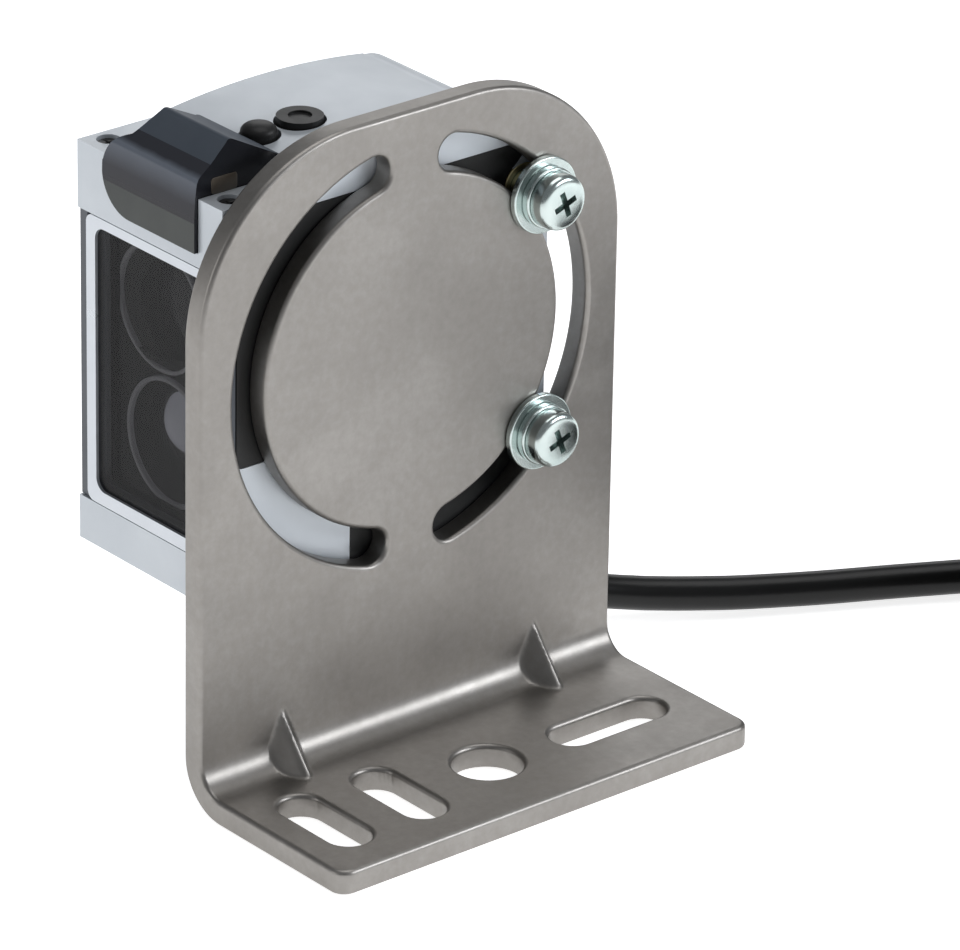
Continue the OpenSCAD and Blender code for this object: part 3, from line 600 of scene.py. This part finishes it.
def make_bracket():
    """Flat blank in (s, y) from the foot's edge to the plate's top, pierced, then bent, with two darts."""
    top = PLATE_TOP - BEND_OUT + FOOT + TURN
    axis = SZ - BEND_OUT + FOOT + TURN
    top_r, foot_r = 22.0, 2.0
    outer = (arc(top - top_r, HALF_W - top_r, top_r, 90, 0, 40)
             + arc(top - top_r, -HALF_W + top_r, top_r, 0, -90, 40)
             + arc(foot_r, -HALF_W + foot_r, foot_r, -90, -180, 8)
             + arc(foot_r, HALF_W - foot_r, foot_r, 180, 90, 8))
    holes = [arc(HOLE_S, 0, 4.25, 0, 354, 59)]
    for x, y, run, turned in ((-0.3, -24, 8.6, False), (-0.3, -13, 8.6, False), (0.5, 18, 11, True)):
        holes.append(obround(HOLE_S - x, y, run, SLOT_W, turned))
    holes += [arc_slot(side, axis) for side in (90, -90)]
    bm = slab_bm([outer] + holes, SHEET, 0.62, 0.4, 5)
    cut_finely(bm)
    crest, n = Vector((0, 8.9)), Vector((0.776, 0.631))    # a point of a dart's ridge, and the way it rises
    for v in bm.verts:
        s, y, w = v.co
        p = bent(s, w)
        off = min(abs(y - DART_Y), abs(y + DART_Y))
        if DART_FROM < s < DART_TO and off < 5:
            rise = (crest - bent(s, 0)).dot(n) + 0.5
            h = rise - 1.6 * (math.sqrt(off * off + 0.2) - 0.447)
            lift = 0.5 * (h + math.sqrt(h * h + 0.05)) * smooth01((3.8 - off) / 1.2)
            p += n * max(0.0, lift - 0.03) * (1 - 0.25 * w / 3)
        v.co = (p.x + PLATE_X, y, p.y)
    return weighted(put("bracket", bm, M["steel"], smooth=None))


show(make_bracket(), "base", "bracket_steel", "bracket_plate", "bracket_bend", "bracket_foot")

# ---- pieces in their CAD shape, with rounded edges ---------------------------------------
SHELL = [   # node, material, width and segments of the rounding, body, slot
    ("housing", "cast", 0.38, 3, "sensor", "die_cast"),
    ("front_bezel", "bezel", 0.22, 3, "sensor", "die_cast"),
    ("front_window", "window", 0.18, 2, "sensor", "smoked_window"),
    ("edge_trims", "trim", 0.12, 2, "sensor", "dark_trim"),
    ("side_plate_near", "black", 0.15, 2, "sensor", "black_plastic"),
    ("side_plate_far", "black", 0.15, 2, "sensor", "black_plastic"),
    ("rear_block", "black", 0, 0, "sensor", "black_plastic"),
    ("rear_screws", "zinc", 0.15, 2, "sensor", "black_screw"),
    ("thread_inserts", "brass", 0.1, 1, "sensor", "insert_brass"),
    ("corner_screws", "blackscrew", 0.05, 1, "sensor", "black_screw"),
    ("rocker_key", "key", 0.22, 3, "rocker_key", "button_plastic"),
    ("plain_washers", "zinc", 0.18, 3, "sensor", "zinc"),
    ("spring_washers", "zinc", 0.2, 3, "sensor", "zinc"),
]
for node, look, width, seg, body, slot in SHELL:
    show(from_cad(node, M[look], width, seg), body, slot, node)


# ---- hood over the display ---------------------------------------------------------------
def hood_curve(p):
    """Leans the upper front of the hood back in a curve, up to its brow."""
    z, y = p.z - SZ, p.y
    lean = 0.016 * max(0.0, z - HOOD_LOW) ** 2 * smooth01((-20.6 - y) / 3.2)
    return Vector((p.x, y + lean, p.z))


def hood_tone(x, y, z, normal):
    """Which of the hood's four materials a face takes, at a point from the tilt axis."""
    if abs(x) < 9.01 and z < HOOD_LOW and normal.y < -0.5:
        return 1
    if (normal.z > 0.45 and z > 26.65) or (normal.z > 0.7 and y > -20):
        return 2
    # 3 is the front above the lower band, which takes the painted brow highlight
    return 3 if normal.y < -0.5 else 0


def make_hood():
    ob = from_cad("display_cover", M["hood"], 0.6, 5, move=hood_curve,
                  levels=[SZ + HOOD_LOW + 0.7 * k for k in range(8)] + [SZ + 26.7])
    for m in ("hood_front", "hood_top", "hood_brow_highlight"):
        ob.data.materials.append(M[m])
    for f in ob.data.polygons:
        x, y, z = f.center.x / MM - SX, f.center.y / MM, f.center.z / MM - SZ
        f.material_index = hood_tone(x, y, z, f.normal)
    return ob


show(make_hood(), "sensor", "display_plastic", "display_cover")


def make_port():
    """Pale lamp port on the side of the hood."""
    bm = slab_bm([rounded(-23.6, 23.0, -19.9, 25.0, 0.4, 5)], 0.3, 0.02, 0.1, 2)
    sideways = Matrix(((0, 0, 1, 8.82), (1, 0, 0, 0), (0, 1, 0, 0), (0, 0, 0, 1)))
    return put("lamp_port", bm, M["led_port"], at=Matrix.Translation((SX, 0, SZ)) @ sideways)


show(make_port(), "sensor", "display_plastic")


# ---- button, clamp screws and strain relief ----------------------------------------------
def make_button():
    """Domed button on its stem."""
    prof = [(0, 20.8), (1.5, 20.8), (1.5, 22.4), (2.0, 22.4), (2.2, 22.6), (2.2, 24.3), (2.13, 24.65),
            (1.95, 24.95), (1.6, 25.22), (1.1, 25.4), (0.55, 25.48), (0, 25.5)]
    return put("button", lathe_bm(prof, 56), M["key"], smooth=40, at=Matrix.Translation((SX, -9.7, SZ)))


show(make_button(), "set_button", "button_plastic", "set_button")


def make_screw(name, z):
    """Pan head with a cross recess and its shank, seated on the washers at z from the tilt axis."""
    seat = 16.65 + 2.0
    prof = [(0, -12.8), (1.7, -12.8), (2.0, -12.5), (2.0, 0.0), (3.2, 0.0), (3.36, 0.08), (3.4, 0.25),
            (3.4, 1.5), (3.34, 1.78), (3.18, 2.02), (2.92, 2.2), (2.6, 2.3), (2.0, 2.37), (1.0, 2.4),
            (0, 2.4)]
    ob = put(name, lathe_bm(prof, 72), M["zinc"], smooth=40)
    for a in (20, 110):
        bm = box_bm(-2.0, -0.46, 0.9, 2.0, 0.46, 3.4)
        for v in bm.verts:
            if v.co.z < 1:
                v.co.x *= 0.55
                v.co.y *= 0.6
        cut(ob, put("recess", bm, M["zinc"], smooth=None, at=Matrix.Rotation(rad(a), 4, "Z")))
    for v in ob.data.vertices:
        x, y, h = v.co
        v.co = ((SX + seat) * MM + h, 18.73499 * MM + y, (SZ + z) * MM - x)
    ob.data.set_sharp_from_angle(angle=rad(40))
    return ob


show(make_screw("screw_1", -15), "sensor", "zinc")
show(make_screw("screw_2", 15), "sensor", "zinc", "clamp_screws")


def make_gland():
    """Tapered strain relief with ribs, square to the sloping corner of the rear block."""
    prof = [(2.17, -3), (3.4, -3), (3.4, 0.05), (4.3, 0.05), (4.5, 0.3), (4.5, 1.3), (4.3, 1.58),
            (3.95, 1.62)]
    for k in range(4):
        z = 1.9 + k * 1.5
        r = 3.95 - (z - 1.6) * 0.18
        prof += [(r, z), (r - 0.06, z + 0.75), (r - 0.5, z + 0.85), (r - 0.5, z + 1.25)]
    prof += [(2.75, 7.75), (2.6, 8.0), (2.3, 8.0), (2.17, 7.85), (2.17, -3)]
    slope = math.atan2(5.5, 9.5)
    mid = Vector((SX + 1, (13 + 22.5) / 2, SZ - 27.3 + 2.75))
    down = Vector((0, math.sin(slope), -math.cos(slope)))
    turn = Vector((0, 0, 1)).rotation_difference(down).to_matrix().to_4x4()
    return put("strain_relief", lathe_bm(prof, 56), M["rubber"], smooth=30,
               at=Matrix.Translation(mid) @ turn)


show(make_gland(), "sensor", "black_plastic", "cable_gland")

# ---- what shows through the window -------------------------------------------------------
# the rims are pale and glow faintly: painted reflection
for name, x, z in (("upper", -1.7, 5.2), ("lower", 0, -11.2)):
    r = 8.0
    prof = [(r, 0), (r, 0.5), (r - 0.1, 0.62), (r - 0.45, 0.62), (r - 0.55, 0.5), (r - 0.55, 0), (r, 0)]
    ring = put("lens_rim_" + name, lathe_bm(prof, 72), M["lens_ring"], smooth=30,
               at=facing_front(SX + x, FRONT_Y + 3.35, SZ + z))
    show(ring, "sensor", "clear_lens")

# the lens cap is pale and glows: a painted highlight behind the window
dome_r, dome_low = 4.6, 2.4
prof = [(dome_r * math.sin(rad(a)), dome_r * math.cos(rad(a)) - dome_low) for a in range(0, 59, 4)]
cap = put("lens_cap", lathe_bm(prof + [(0, 0.05)], 48), M["lens_cap"], smooth=50,
          at=facing_front(SX + 1.4, FRONT_Y + 4.4, SZ - 8.6))
show(cap, "sensor", "clear_lens")

# the nodes that stay as they are
LOOKS = {
    "rubber": ("window_gasket", "display_gasket", "button_seal", "rocker_seal", "rear_gasket"),
    "board": ("display_board", "receiver_board", "main_board"),
    "panel": ("display_module",),
    "amber": ("status_led",),
    "chip": ("button_switch", "rocker_switches", "receiver_chip"),
    "zinc": ("rocker_pin", "cable_clamp"),
    "chassis": ("optics_chassis", "light_baffle"),
    "lens": ("emitter_lens", "receiver_lens"),
    "brass": ("laser_diode",),
    "connector": ("board_connector",),
    "film": ("ribbon",),
    "wire_brown": ("inner_wires",),
}
for look, nodes in LOOKS.items():
    for node in nodes:
        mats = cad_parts[node].data.materials
        mats.clear()
        mats.append(M[look])


# ---- floor and light ---------------------------------------------------------------------
def make_stage():
    """Pale floor that glows softly, and a pale sky."""
    n = Nodes("floor_paper")
    n.link(n.ramp(n.noise(3, 2), [(0.3, grey(0.86)), (0.7, grey(0.88))]), n.b.inputs["Base Color"])
    n.set({"Roughness": 0.9, "Emission Color": (1, 1, 1, 1), "Emission Strength": 0.80})
    bm = bmesh.new()
    bmesh.ops.create_grid(bm, x_segments=2, y_segments=2, size=4000)
    floor = put("floor", bm, n.m, smooth=None, at=Matrix.Translation((0, 0, -0.15)))
    world = bpy.data.worlds.new("world")
    bpy.context.scene.world = world
    world.use_nodes = True
    bg = world.node_tree.nodes["Background"]
    bg.inputs["Color"].default_value = (0.93, 0.96, 1.0, 1)
    bg.inputs["Strength"].default_value = 0.22


def area_light(name, toward, dist, w, h, power, colour=(1, 1, 1)):
    """Area light in a direction from the object's middle, dist metres away and facing it."""
    d = Vector(toward).normalized()
    data = bpy.data.lights.new(name, "AREA")
    data.shape, data.size, data.size_y, data.energy, data.color = "RECTANGLE", w, h, power, colour
    ob = bpy.data.objects.new(name, data)
    bpy.context.scene.collection.objects.link(ob)
    ob.location = Vector((-0.02, 0, 0.04)) + d * dist
    ob.rotation_euler = (-d).to_track_quat("-Z", "Y").to_euler()


make_stage()
area_light("bend_light", (0.70, 0.58, 0.42), 0.9, 0.60, 0.22, 4.0, (0.93, 0.96, 1.0))
area_light("rear_light", (-0.70, 0.62, 0.42), 1.2, 0.55, 0.45, 1.2)
area_light("top_light", (0.0, 0.15, 1.0), 1.1, 0.8, 0.8, 3.9)
area_light("front_light", (-0.35, -1.0, 0.30), 1.2, 0.5, 0.5, 1.6)
scene = bpy.context.scene
scene.view_settings.view_transform = "Standard"
scene.view_settings.look = "None"

bpy.context.view_layer.update()
